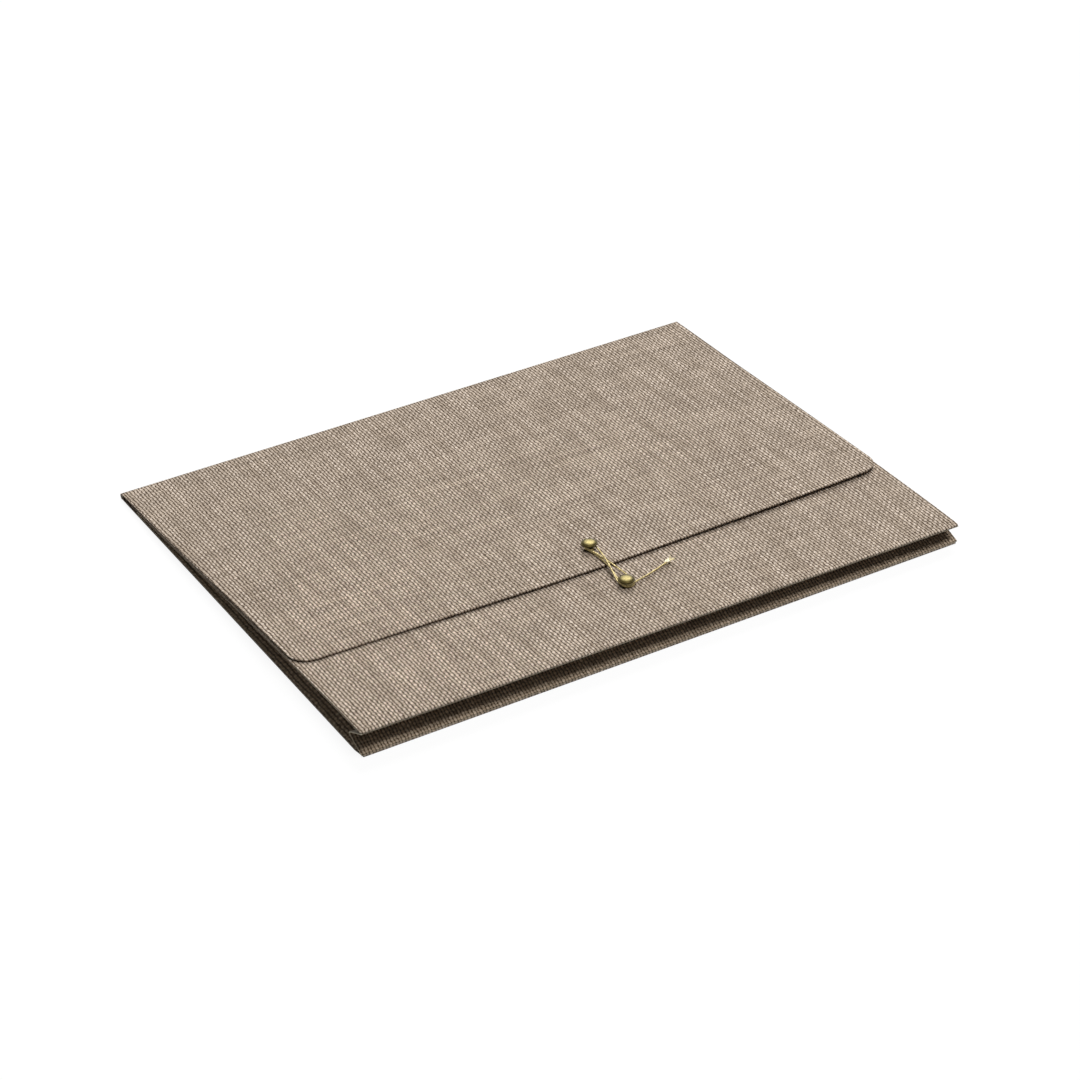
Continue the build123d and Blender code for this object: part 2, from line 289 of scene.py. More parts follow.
# Shader helpers
def newGroup(name, inputs, outputs):
    tree = bpy.data.node_groups.new(name, "ShaderNodeTree")
    for label, kind in inputs:
        tree.interface.new_socket(label, in_out="INPUT", socket_type=kind)
    for label in outputs:
        tree.interface.new_socket(label, in_out="OUTPUT", socket_type="NodeSocketFloat")
    return tree, tree.nodes.new("NodeGroupInput"), tree.nodes.new("NodeGroupOutput")


def feed(tree, socket, value):
    if isinstance(value, bpy.types.NodeSocket):
        tree.links.new(value, socket)
    else:
        socket.default_value = value


def calc(tree, operation, a, b=None):
    node = tree.nodes.new("ShaderNodeMath")
    node.operation = operation
    feed(tree, node.inputs[0], a)
    if b is not None:
        feed(tree, node.inputs[1], b)
    return node.outputs[0]


# Sum, difference and product in one tree
def arithmetic(tree):
    def short(operation):
        return lambda a, b: calc(tree, operation, a, b)
    return short("ADD"), short("SUBTRACT"), short("MULTIPLY")


def combine(tree, x, y, z=0.0):
    node = tree.nodes.new("ShaderNodeCombineXYZ")
    for socket, value in zip(node.inputs, (x, y, z)):
        feed(tree, socket, value)
    return node.outputs[0]


def separate(tree, vector):
    node = tree.nodes.new("ShaderNodeSeparateXYZ")
    tree.links.new(vector, node.inputs[0])
    return node.outputs


def noise(tree, vector, scale, detail=2.0, rough=0.5):
    node = tree.nodes.new("ShaderNodeTexNoise")
    values = {"Vector": vector, "Scale": scale, "Detail": detail, "Roughness": rough}
    for label, value in values.items():
        feed(tree, node.inputs[label], value)
    return node.outputs["Fac"]


def span(tree, value, low, high, toLow=0.0, toHigh=1.0):
    node = tree.nodes.new("ShaderNodeMapRange")
    values = {"Value": value, "From Min": low, "From Max": high, "To Min": toLow, "To Max": toHigh}
    for label, number in values.items():
        feed(tree, node.inputs[label], number)
    return node.outputs["Result"]


# The mix node's sockets for plain numbers are its first, third and fourth.
def blendValue(tree, share, first, second):
    node = tree.nodes.new("ShaderNodeMix")
    for place, value in ((0, share), (2, first), (3, second)):
        feed(tree, node.inputs[place], value)
    return node.outputs[0]


def blendColour(tree, share, first, second, kind="MIX"):
    node = tree.nodes.new("ShaderNodeMix")
    node.data_type = "RGBA"
    node.blend_type = kind
    for label, value in (("Factor", share), ("A", first), ("B", second)):
        feed(tree, node.inputs[label], value)
    return node.outputs["Result"]


def sheetUv(tree):
    node = tree.nodes.new("ShaderNodeUVMap")
    node.uv_map = "Sheet"
    return node.outputs["UV"]


# Sizes of the weave, in millimetres over the sheet and in half thicknesses of a yarn in height
weaving = {
    "stray": 1.0,  # way that bundles of yarns stray
    "strayRates": (0.16, 0.035),  # of its noise, per millimetre across the bundle and along it
    "uneven": 1.5,  # way that long yarns are pushed aside in spots
    "unevenRate": 0.33,
    "jitter": 1.3,  # way that each long yarn's crossings lie off its neighbours'
    "jitterRates": (5.3, 0.06),  # from yarn to yarn, and per millimetre along it
    "bend": 0.32,  # rise and fall of a yarn over its crossings
    "longFill": 0.82,  # width of a yarn's round section in its cell
    "crossFill": 0.86,
    "dip": 0.14,  # fall of a long yarn towards the ends of its cell
    "sunk": 0.12,  # cross yarns lie this much lower
    "soft": 0.12,  # difference in height over which one yarn gives way to the other
    "slubRates": (3.37, 0.03),  # light and dark places, from yarn to yarn and along it
    "fibreRates": (5.5, 0.9),  # across and along a yarn
    "cloudShares": (0.45, 0.25, 0.30),  # of cross slubs, long slubs and patches
    "patchRate": 0.045,
}


# Plain weave. In yarn counts U and V, a long yarn's height over its cell is its round section plus
# a cosine along V that changes sign from one yarn to the next, less a square along V. A cross
# yarn's is the same with U and V exchanged and the other sign, less the furrow, a square across the
# long yarn. The higher of the two is what shows.
def weaveGroup():
    tree, given, out = newGroup(
        "plainWeave",
        [("Sheet", "NodeSocketVector"), ("Across", "NodeSocketFloat"), ("Along", "NodeSocketFloat"),
         ("Slant", "NodeSocketFloat"), ("Furrow", "NodeSocketFloat")],
        ["Long Yarn", "Height", "Slub", "Cloud", "Fibre"],
    )
    plus, minus, times = arithmetic(tree)
    sheet = given.outputs["Sheet"]
    x, y, _ = separate(tree, sheet)

    # A place moved by a noise that is even about a half
    def strayed(place, field, reach):
        return plus(place, times(minus(field, 0.5), reach))

    # The third number of a noise's place only keeps it apart from the others.
    quick, slow = weaving["strayRates"]
    strayX = noise(tree, combine(tree, times(x, quick), times(y, slow)), 1.0)
    strayY = noise(tree, combine(tree, times(x, slow), times(y, quick), 4.0), 1.0)
    yarnX = strayed(x, strayX, weaving["stray"])
    yarnY = strayed(y, strayY, weaving["stray"])
    yarnX = strayed(yarnX, noise(tree, sheet, weaving["unevenRate"], 2.0, 0.6), weaving["uneven"])
    u = calc(tree, "DIVIDE", yarnX, given.outputs["Across"])
    cellU = calc(tree, "FLOOR", u)
    perYarn, along = weaving["jitterRates"]
    jitter = noise(tree, combine(tree, times(cellU, perYarn), times(y, along), 9.0), 1.0)
    yarnY = strayed(yarnY, jitter, weaving["jitter"])
    v = calc(tree, "DIVIDE", yarnY, given.outputs["Along"])
    cellV = calc(tree, "FLOOR", v)
    fromU, fromV = minus(minus(u, cellU), 0.5), minus(minus(v, cellV), 0.5)

    def cosine(count):
        return calc(tree, "COSINE", times(count, math.pi))

    slanted = plus(v, times(fromU, given.outputs["Slant"]))
    longRise = times(cosine(cellU), cosine(minus(slanted, 0.5)))
    crossRise = times(times(cosine(cellV), cosine(minus(u, 0.5))), -1.0)

    def section(away, fill):
        q = times(away, 2.0 / fill)
        return calc(tree, "SQRT", calc(tree, "MAXIMUM", minus(1.0, times(q, q)), 0.0))

    bend, soft = weaving["bend"], weaving["soft"]
    longHeight = plus(section(fromU, weaving["longFill"]), times(longRise, bend))
    longHeight = minus(longHeight, times(times(fromV, fromV), 4 * weaving["dip"]))
    crossHeight = plus(section(fromV, weaving["crossFill"]), times(crossRise, bend))
    furrow = calc(tree, "POWER", calc(tree, "ABSOLUTE", times(fromU, 2.0)), 2.0)
    furrow = times(furrow, given.outputs["Furrow"])
    crossHeight = minus(minus(crossHeight, weaving["sunk"]), furrow)
    isLong = span(tree, minus(longHeight, crossHeight), -soft, soft)
    top = calc(tree, "MAXIMUM", longHeight, crossHeight)

    perYarn, along = weaving["slubRates"]
    longSlub = noise(tree, combine(tree, times(cellU, perYarn), times(y, along), 1.0), 1.0)
    crossSlub = noise(tree, combine(tree, times(x, along), times(cellV, perYarn), 7.0), 1.0)
    across, along = weaving["fibreRates"]
    longFibre = noise(tree, combine(tree, times(x, across), times(y, along), 2.0), 1.0)
    crossFibre = noise(tree, combine(tree, times(x, along), times(y, across), 6.0), 1.0)
    crossShare, longShare, patchShare = weaving["cloudShares"]
    ribs = plus(times(crossSlub, crossShare), times(longSlub, longShare))
    patch = noise(tree, sheet, weaving["patchRate"])
    results = {
        "Long Yarn": isLong,
        "Height": calc(tree, "DIVIDE", top, 1.0 + bend),
        "Slub": blendValue(tree, isLong, crossSlub, longSlub),
        "Cloud": plus(ribs, times(patch, patchShare)),
        "Fibre": blendValue(tree, isLong, crossFibre, longFibre),
    }
    for label, value in results.items():
        tree.links.new(value, out.inputs[label])
    return tree


# Fine grain for paper, card edges and brass, and patches some sixteen times as wide
def grainGroup():
    tree, given, out = newGroup(
        "fineGrain", [("Point", "NodeSocketVector"), ("Scale", "NodeSocketFloat")], ["Grain", "Patch"])
    point, scale = given.outputs["Point"], given.outputs["Scale"]
    patchScale = calc(tree, "MULTIPLY", scale, 0.06)
    tree.links.new(noise(tree, point, scale, 5.0), out.inputs["Grain"])
    tree.links.new(noise(tree, point, patchScale), out.inputs["Patch"])
    return tree


weave = weaveGroup()
grain = grainGroup()


def newMaterial(name):
    material = bpy.data.materials.new(name)
    material.use_nodes = True
    return material, material.node_tree, material.node_tree.nodes["Principled BSDF"]


# A group node with its inputs linked or set
def placeGroup(tree, group, values):
    node = tree.nodes.new("ShaderNodeGroup")
    node.node_tree = group
    for label, value in values.items():
        feed(tree, node.inputs[label], value)
    return node.outputs


def addBump(tree, shader, height, distance):
    bump = tree.nodes.new("ShaderNodeBump")
    bump.inputs["Strength"].default_value = 1.0
    bump.inputs["Distance"].default_value = distance
    tree.links.new(height, bump.inputs["Height"])
    tree.links.new(bump.outputs["Normal"], shader.inputs["Normal"])


cloth = {
    "longLight": (0.75, 0.635, 0.53, 1),  # long yarns, where they lie on top
    "longDark": (0.50, 0.405, 0.315, 1),
    "crossLight": (0.62, 0.51, 0.40, 1),
    "crossDark": (0.40, 0.318, 0.242, 1),
    # painted shade: the colour that the weave darkens to where it lies low between the yarns
    "gap": (0.085, 0.055, 0.034, 1),
    "roughness": 0.85,
    "specular": 0.12,
    "sheen": 0.04,
    "across": 1.65,  # from one long yarn to the next
    "along": 1.72,  # from one cross yarn to the next
    "relief": 0.00030,  # in metres
    "fibreTone": 0.45,  # share of the fibres in a yarn's colour
    "toneSpan": (0.33, 0.67),  # slub noise from dark to light yarn
    "gapShadeSpan": (0.22, 0.80),  # height from gap to yarn colour
    "streakSpan": (0.40, 0.60, 0.90, 1.09),  # cloud noise to brightness
    "fuzz": 0.2,  # relief of loose fuzz and of fibres, in yarn heights
    "fuzzRate": 3.2,
    "fibreRelief": 0.3,
}


# Cloth in the weave, on the piece's UVs in millimetres
def clothMaterial(name, shadeTint, slant, furrow):
    material, tree, shader = newMaterial(name)
    plus, minus, times = arithmetic(tree)
    uv = sheetUv(tree)
    cell = placeGroup(tree, weave, {
        "Sheet": uv, "Across": cloth["across"], "Along": cloth["along"],
        "Slant": slant, "Furrow": furrow,
    })
    fibre = times(minus(cell["Fibre"], 0.5), cloth["fibreTone"])
    tone = span(tree, plus(cell["Slub"], fibre), *cloth["toneSpan"])
    longColour = blendColour(tree, tone, cloth["longDark"], cloth["longLight"])
    crossColour = blendColour(tree, tone, cloth["crossDark"], cloth["crossLight"])
    yarn = blendColour(tree, cell["Long Yarn"], crossColour, longColour)
    raised = span(tree, cell["Height"], *cloth["gapShadeSpan"])
    # Painted shade: where the weave's height is low, between the yarns, the colour goes to the gap
    # colour.
    colour = blendColour(tree, raised, cloth["gap"], yarn)
    streak = span(tree, cell["Cloud"], *cloth["streakSpan"])
    # A tint under one darkens this copy of the cloth, as painted shade.
    tinted = combine(tree, *(times(streak, share) for share in shadeTint))
    colour = blendColour(tree, 1.0, colour, tinted, "MULTIPLY")
    tree.links.new(colour, shader.inputs["Base Color"])
    shader.inputs["Roughness"].default_value = cloth["roughness"]
    shader.inputs["Specular IOR Level"].default_value = cloth["specular"]
    shader.inputs["Sheen Weight"].default_value = cloth["sheen"]
    fuzz = times(noise(tree, uv, cloth["fuzzRate"], 3.0, 0.7), cloth["fuzz"])
    fuzz = plus(fuzz, times(cell["Fibre"], cloth["fibreRelief"]))
    addBump(tree, shader, plus(cell["Height"], fuzz), cloth["relief"])
    return material


graininess = {"grainShare": 0.6, "patchShare": 0.4, "toneSpan": (0.35, 0.65)}


# Two colours mixed by grain and patches, with the grain as relief
def grainyMaterial(name, look):
    material, tree, shader = newMaterial(name)
    plus, _, times = arithmetic(tree)
    where = tree.nodes.new("ShaderNodeTexCoord")
    fine = placeGroup(tree, grain, {"Point": where.outputs["Object"], "Scale": look["scale"]})
    mixed = plus(times(fine["Grain"], graininess["grainShare"]),
                 times(fine["Patch"], graininess["patchShare"]))
    tone = span(tree, mixed, *graininess["toneSpan"])
    colour = blendColour(tree, tone, look["dark"], look["light"])
    addBump(tree, shader, fine["Grain"], look["relief"])
    return material, tree, shader, colour, fine["Patch"]


def paperMaterial(name, look):
    material, tree, shader, colour, _ = grainyMaterial(name, look)
    tree.links.new(colour, shader.inputs["Base Color"])
    shader.inputs["Roughness"].default_value = look["roughness"]
    return material


# Aged brass, with painted shade: darker where the UVs' first number is low, towards the rim. Its
# roughness is a span of the patch noise.
def brassMaterial(name, look):
    material, tree, shader, colour, patch = grainyMaterial(name, look)
    unshadedShare = span(tree, separate(tree, sheetUv(tree))[0], *look["awayFromRim"])
    # Painted shade: the dark colour is laid on towards the rim of each head, where the head shades
    # itself and reflects dark cloth.
    tree.links.new(blendColour(tree, unshadedShare, look["paintedShadeColour"], colour), shader.inputs["Base Color"])
    shader.inputs["Metallic"].default_value = 1.0
    tree.links.new(span(tree, patch, *look["roughness"]), shader.inputs["Roughness"])
    return material


threadLook = {
    "glintScale": 2600.0,
    "toneSpan": (0.38, 0.62),
    "roughness": (0.3, 0.7, 0.42, 0.24),  # glint noise to roughness
    "relief": 0.00003,
}


# Silky thread: two colours mixed by a fine noise, smoother where it's lighter
def threadMaterial(name, dark, light, metallic):
    material, tree, shader = newMaterial(name)
    where = tree.nodes.new("ShaderNodeTexCoord")
    glint = noise(tree, where.outputs["Object"], threadLook["glintScale"])
    colour = blendColour(tree, span(tree, glint, *threadLook["toneSpan"]), dark, light)
    tree.links.new(colour, shader.inputs["Base Color"])
    shader.inputs["Metallic"].default_value = metallic
    tree.links.new(span(tree, glint, *threadLook["roughness"]), shader.inputs["Roughness"])
    addBump(tree, shader, glint, threadLook["relief"])
    return material


clothCover = clothMaterial("coverCloth", shadeTint=(1, 1, 1), slant=0.34, furrow=0.66)
# The bellows cloth is the cover cloth made darker and warmer: painted shade for the gussets, which sit
# under the panels.
shadedClothBellows = clothMaterial("shadedBellowsCloth", shadeTint=(0.98, 0.94, 0.86), slant=0.12, furrow=0.45)
liningPaper = paperMaterial("liningPaper", {
    "light": (0.60, 0.54, 0.45, 1), "dark": (0.52, 0.46, 0.38, 1),
    "roughness": 0.8, "scale": 900.0, "relief": 0.00003,
})
cardCore = paperMaterial("cardCore", {
    "light": (1.0, 0.91, 0.72, 1), "dark": (0.93, 0.80, 0.58, 1),
    "roughness": 0.9, "scale": 2500.0, "relief": 0.00004,
})
agedBrassWithPaintedShade = brassMaterial("agedBrassWithPaintedShade", {
    "light": (0.175, 0.146, 0.062, 1), "dark": (0.115, 0.092, 0.033, 1),
    # a painted shade colour, and the UV span over which it gives way to the brass
    "paintedShadeColour": (0.048, 0.036, 0.012, 1), "awayFromRim": (0.05, 0.75),
    "roughness": (0.3, 0.7, 0.34, 0.46), "scale": 1500.0, "relief": 0.00001,
})
goldThread = threadMaterial("goldThread", (0.19, 0.142, 0.042, 1), (0.74, 0.60, 0.28, 1), 0.45)
# The knot's thread is coloured near white: a painted highlight on the knot of the gold string.
knotHighlightThread = threadMaterial("knotHighlightThread", (0.86, 0.76, 0.48, 1), (1.0, 0.96, 0.82, 1), 0.25)
frayThread = threadMaterial("frayThread", (0.50, 0.40, 0.16, 1), (0.98, 0.89, 0.60, 1), 0.25)
print("materials made")

# Camera, at the photograph's viewing angle
camera = {
    "place": (-0.6819, -1.1227, 0.85965), "forward": (0.4341, 0.7115, -0.5527),
    "lens": 108.13, "sensor": 36, "near": 0.01,
}
lens = bpy.data.cameras.new("camera")
lens.lens = camera["lens"]
lens.sensor_width = camera["sensor"]
lens.clip_start = camera["near"]
viewer = bpy.data.objects.new("camera", lens)
viewer.location = camera["place"]
viewer.rotation_euler = Vector(camera["forward"]).to_track_quat("-Z", "Y").to_euler()
bpy.context.scene.collection.objects.link(viewer)
bpy.context.scene.camera = viewer

# String. Its points, in metres, are those of the model's tube, with one more about six diameters
# from a stud on each pulled strand. The thread's section has three lobes that turn as it runs, so
# its greatest diameter is more than the cord's.
thread = {"diameter": 0.86, "lobes": 3, "depth": 0.11, "lay": 2.1, "around": 15, "step": 0.16}
route = [
    (-0.00105, -0.05050, 0.01190),  # on the hitch
    (0.00070, -0.06230, 0.01250),  # crossing, lowest strand
    (-0.00238, -0.07960, 0.01168),
    (-0.00310, -0.08360, 0.01149),  # first turn, round the front stud
    (-0.00175, -0.08560, 0.01149),
    (0.00085, -0.08600, 0.01149),
    (0.00310, -0.08460, 0.01149),
    (0.00390, -0.08130, 0.01160),
    (0.00075, -0.06250, 0.01320),  # crossing, middle strand
    (-0.00108, -0.05260, 0.01294),
    (-0.00182, -0.04870, 0.01283),  # second turn, round the flap stud
    (-0.00079, -0.04691, 0.01283),
    (0.00125, -0.04656, 0.01283),
    (0.00310, -0.04810, 0.01283),
    (0.00246, -0.05200, 0.01312),
    (0.00070, -0.06270, 0.01390),  # crossing, top strand
    (-0.00306, -0.07700, 0.01288),
    (-0.00410, -0.08090, 0.01260),  # third turn, part of the way round the front stud
    (-0.00330, -0.08470, 0.01255),
    (-0.00090, -0.08600, 0.01255),
    (0.00320, -0.08475, 0.01235),  # tail
    (0.01060, -0.08255, 0.01180),
    (0.01740, -0.08035, 0.01150),
    (0.02450, -0.07815, 0.01165),
]


# Points along the route's spline, in millimetres
def routeLine(points):
    curve = bpy.data.curves.new("stringLine", "CURVE")
    curve.dimensions = "3D"
    spline = curve.splines.new("NURBS")
    spline.points.add(len(points) - 1)
    control = np.concatenate([np.array(points), np.ones((len(points), 1))], 1)
    spline.points.foreach_set("co", control.ravel())
    spline.order_u = 3
    spline.use_endpoint_u = True
    spline.resolution_u = 40
    holder = bpy.data.objects.new("stringLine", curve)
    bpy.context.scene.collection.objects.link(holder)
    bpy.context.view_layer.update()
    line = bpy.data.meshes.new_from_object(holder)
    found = np.zeros(len(line.vertices) * 3)
    line.vertices.foreach_get("co", found)
    bpy.data.objects.remove(holder)
    bpy.data.meshes.remove(line)
    return found.reshape(-1, 3) / mm


# Distance of each point from the line's start
def runOf(line):
    return np.concatenate([[0], np.cumsum(np.linalg.norm(np.diff(line, axis=0), axis=1))])


# Points at even steps along a line, and the line's length
def evenSteps(line, step):
    gaps = np.linalg.norm(np.diff(line, axis=0), axis=1)
    line = line[np.concatenate([[True], gaps > 1e-7])]
    along = runOf(line)
    places = np.linspace(0, along[-1], int(along[-1] / step) + 2)
    return np.stack([np.interp(places, along, line[:, k]) for k in range(3)], 1), along[-1]


# Circles of unit radius about a line, in the plane of side and up
def ringAbout(phi, side, up):
    return np.cos(phi)[None, :, None] * side + np.sin(phi)[None, :, None] * up


# Twisted thread: the radius round the section is a cosine with one wave for each lobe, and the
# section turns as it runs, once in every lay, or by one lobe if it's closed so that its ends meet.
# Open lines end in flat caps.
def makeThread(name, line, diameter, material, closed=False):
    if closed:
        ahead, behind = np.roll(line, -1, 0), np.roll(line, 1, 0)
    else:
        ahead, behind = np.concatenate([line[1:], line[-1:]]), np.concatenate([line[:1], line[:-1]])
    tangent = ahead - behind
    tangent /= np.linalg.norm(tangent, axis=1)[:, None]
    side = np.cross(tangent, [0.03, 0.02, 1.0])  # a way that no line here runs in
    side /= np.linalg.norm(side, axis=1)[:, None]
    up = np.cross(side, tangent)
    along = runOf(line)
    turns = max(1, round(along[-1] / thread["lay"]))
    phi = np.linspace(0, 2 * math.pi, thread["around"], endpoint=False)
    wind = along / along[-1] * turns * 2 * math.pi / (thread["lobes"] if closed else 1)
    lobes = np.cos(thread["lobes"] * (phi[None] - wind[:, None]))
    radius = diameter / 2 * (1 - thread["depth"] * (1 - lobes))
    ring = radius[..., None] * ringAbout(phi, side[:, None], up[:, None])
    points = (line[:, None] + ring).reshape(-1, 3)
    rows, cols = len(line), len(phi)
    quads = gridQuads(rows, cols, closed=True)
    first = np.arange(cols)
    last = (rows - 1) * cols + first
    uv = np.stack([np.zeros(rows * cols), np.repeat(along, cols)], 1)
    if closed:
        joint = np.stack([last, np.roll(last, -1), np.roll(first, -1), first], 1)
        quads = np.concatenate([quads, joint])
        return makePiece(name, points, [(quads, uv[quads], 0)], [material])
    points = np.concatenate([points, line[:1], line[-1:]])
    uv = np.concatenate([uv, [[0, 0], [0, along[-1]]]])
    caps = np.concatenate([
        np.stack([np.roll(first, -1), first, np.full(cols, rows * cols)], 1),
        np.stack([last, np.roll(last, -1), np.full(cols, rows * cols + 1)], 1),
    ])
    return makePiece(name, points, [(quads, uv[quads], 0), (caps, uv[caps], 0)], [material])


stringLine, stringLength = evenSteps(routeLine(route), thread["step"])
string = makeThread("closingString", stringLine, thread["diameter"], goldThread)
print("string made, length", round(stringLength, 2))

# Hitch: the loop under the string's start, on the flap stud's shoulder
hitchLow, hitchHigh = boxMm("string_hitch")
hitchMiddle = (hitchLow + hitchHigh) / 2
hitchRadius = (hitchHigh[0] - hitchLow[0] - thread["diameter"]) / 2
loopAngle = np.linspace(0, 2 * math.pi, 90, endpoint=False)
hitchLine = np.stack([
    hitchMiddle[0] + hitchRadius * np.cos(loopAngle),
    hitchMiddle[1] + hitchRadius * np.sin(loopAngle),
    hitchMiddle[2] - hitchRadius * np.sin(loopAngle) * math.sin(flapTilt),
], 1)
hitch = makeThread("stringHitch", hitchLine, thread["diameter"], goldThread, closed=True)

# Knot: a trefoil line, sin t + 2 sin 2t and cos t - 2 cos 2t across and sin 3t along, drawn tight
knotSize = {"across": 0.30, "along": 0.90, "thread": 0.90, "beyond": 1.2, "steps": 120}
tailWay = stringLine[-1] - stringLine[-12]
tailWay /= np.linalg.norm(tailWay)
tailSide = np.cross(tailWay, [0, 0, 1])
tailSide /= np.linalg.norm(tailSide)
tailUp = np.cross(tailSide, tailWay)
t = np.linspace(0, 2 * math.pi, knotSize["steps"], endpoint=False)
knotMiddle = stringLine[-1] + tailWay * knotSize["beyond"]
knotLine = (
    knotMiddle
    + knotSize["across"] * (np.sin(t) + 2 * np.sin(2 * t))[:, None] * tailSide
    + knotSize["across"] * (np.cos(t) - 2 * np.cos(2 * t))[:, None] * tailUp
    + knotSize["along"] * np.sin(3 * t)[:, None] * tailWay
)
knot = makeThread("stringKnot", knotLine, knotSize["thread"], knotHighlightThread, closed=True)

# Tuft: fibres in two prongs, each a bowed line that leaves the knot close to its prong's way and
# strays from it with the run, to the power of 1.3
tuft = {
    "fibres": 26, "length": 3.9, "shortest": 0.55, "prongs": (0.42, -0.28), "stray": 0.14,
    "rise": 0.06, "bow": 0.12, "thick": 0.36, "thinning": 0.55, "from": 0.5, "steps": 9, "around": 6,
}


def makeTuft():
    s = np.linspace(0, 1, tuft["steps"])
    phi = np.linspace(0, 2 * math.pi, tuft["around"], endpoint=False)
    radius = tuft["thick"] / 2 * (1 - tuft["thinning"] * s)
    ring = radius[:, None, None] * ringAbout(phi, tailSide, tailUp)
    root = knotMiddle + tailWay * tuft["from"]
    around, count = np.arange(len(phi)), len(s) * len(phi)
    blocks, points = [], []
    for k in range(tuft["fibres"]):
        spread = tuft["prongs"][k % 2] + rng.normal(0, tuft["stray"])
        rise = abs(rng.normal(tuft["rise"], tuft["stray"]))
        bow = rng.normal(0, tuft["bow"])
        reach = tuft["length"] * rng.uniform(tuft["shortest"], 1.0)
        out = -spread * tailSide + rise * tailUp
        line = (root + s[:, None] * reach * tailWay + (s**1.3)[:, None] * reach * out
                + bow * np.sin(math.pi * s)[:, None] * tailSide)
        points.append((line[:, None] + ring).reshape(-1, 3))
        quads = gridQuads(len(s), len(phi), k * count, closed=True)
        ends = k * count + np.stack([around[::-1], count - len(phi) + around])
        for faces in (quads, ends):
            blocks.append((faces, np.zeros((*faces.shape, 2)), 0))
    return makePiece("stringTuft", np.concatenate(points), blocks, [frayThread])


fray = makeTuft()
for piece, node in (
    (string, "closing_string"), (knot, "string_knot"), (fray, "string_tuft"), (hitch, "string_hitch"),
):
    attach(piece, "flap")
    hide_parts(node)
for piece in (string, knot, fray):
    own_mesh(piece)
print("string placed")

# Panels and linings. Corners are radii, taper is what the half width loses towards the far end.
panelEdge = 0.36
backPanel = makeSheet("backPanel", {
    "half": halfWidth, "length": hingeY - frontY, "thick": board, "edge": panelEdge,
    "nearCorner": 1.2, "rows": 40, "cols": 60, "way": -1,
}, placeBack, [clothCover], uvShift=(0, 30))
frontPanel = makeSheet("frontPanel", {
    "half": halfWidth, "length": frontLength, "thick": board, "edge": 0.39,
    "nearCorner": 1.2, "farCorner": 3.0, "rows": 90, "cols": 100, "pull": 0.9, "way": -1,
}, placeFront, [clothCover])
flap = makeSheet("flap", {
    "half": halfWidth, "length": flapLength, "thick": board, "edge": panelEdge, "taper": 0.8,
    "farCorner": 10.0, "rows": 110, "cols": 110, "pull": 0.75,
}, placeFlap, [clothCover], uvShift=(3.3, 0.8))

liningLow, liningHigh = boxMm("back_lining")
liningEnd = 2.5  # the upper linings stop this far short of the folds and the free edges
lining = {"thick": liningHigh[2] - board, "edge": 0.05, "start": liningEnd}
backLining = makeSheet("backLining", {
    **lining, "half": liningHigh[0], "start": liningLow[1] - frontY,
    "length": liningHigh[1] - frontY, "lift": board, "rows": 12, "cols": 16,
}, placeBack, [liningPaper])
frontLining = makeSheet("frontLining", {
    **lining, "half": boxMm("front_lining")[1][0], "length": frontLength - liningEnd,
    "lift": -lining["thick"], "rows": 60, "cols": 80,
}, placeFront, [liningPaper])
flapLining = makeSheet("flapLining", {
    **lining, "half": boxMm("flap_lining")[1][0], "length": flapLength - liningEnd,
    "lift": -lining["thick"], "farCorner": 7.5, "rows": 90, "cols": 90, "pull": 0.75,
}, placeFlap, [liningPaper])
for piece, body, node, slot in (
    (backPanel, "back", "back_panel", "cover_cloth"),
    (frontPanel, "front", "front_panel", "cover_cloth"),
    (flap, "flap", "flap", "cover_cloth"),
    (backLining, "back", "back_lining", "lining_paper"),
    (frontLining, "front", "front_lining", "lining_paper"),
    (flapLining, "flap", "flap_lining", "lining_paper"),
):
    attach(piece, body)
    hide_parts(node)
print("panels made")

# Crease along the far edge: half a ring from the back panel's end round to the flap's
creaseSize = {"rows": 15, "cols": 60, "inset": 0.05, "thinner": 0.04}


def flapCrease():
    rows, cols = creaseSize["rows"], creaseSize["cols"]
    half = halfWidth - creaseSize["inset"]
    angles = np.linspace(-math.pi / 2, math.pi / 2 - flapTilt, rows)
    xs = np.linspace(-half, half, cols)
    outward = np.stack([np.cos(angles), np.sin(angles)], 1)
    ring = np.array([hingeY, hingeZ]) + (foldInner + board / 2) * outward

    def alongX(x, yz):
        wide = np.broadcast_to(x[None, :, None], (rows, cols, 1))
        return np.concatenate([wide, np.broadcast_to(yz[:, None], (rows, cols, 2))], 2)

    uv = np.stack(np.meshgrid(xs, angles * hingeZ, indexing="xy"), -1)
    thick = board - creaseSize["thinner"]
    materials = [clothCover, liningPaper]
    return makeStrip("flapCrease", alongX(xs, ring), alongX(0 * xs, outward), thick, uv, materials, 0)


crease = flapCrease()
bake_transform(crease)
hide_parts("flap_crease")

# Front bellows: one scored strip, a V on its side
bellows = {
    "reach": 11.2,
    "thick": 0.5,
    "round": 0.12,  # of the inner crease
    "lift": -0.2,  # of the inner crease from the middle height, at liftAt of the half width, from
    "liftAt": -0.3,  # where it fades to nought at the right
    "inset": 0.15,
    "setBack": 0.3,
    "crowd": 1.3,  # over one, so that rows are closer together at the crease
    "rows": 41,
    "cols": 100,
}


# Inward distance is a hyperbola in height, so the inner crease is a little round.
def vSection(v, reach, low, high, lift):
    middle = (low + high) / 2 + lift
    height = middle + np.where(v < 0, v * (middle - low), v * (high - middle))
    r = bellows["round"]
    inward = reach * (1 - (np.sqrt(v**2 + r**2) - r) / (math.sqrt(1 + r**2) - r))
    return inward, height


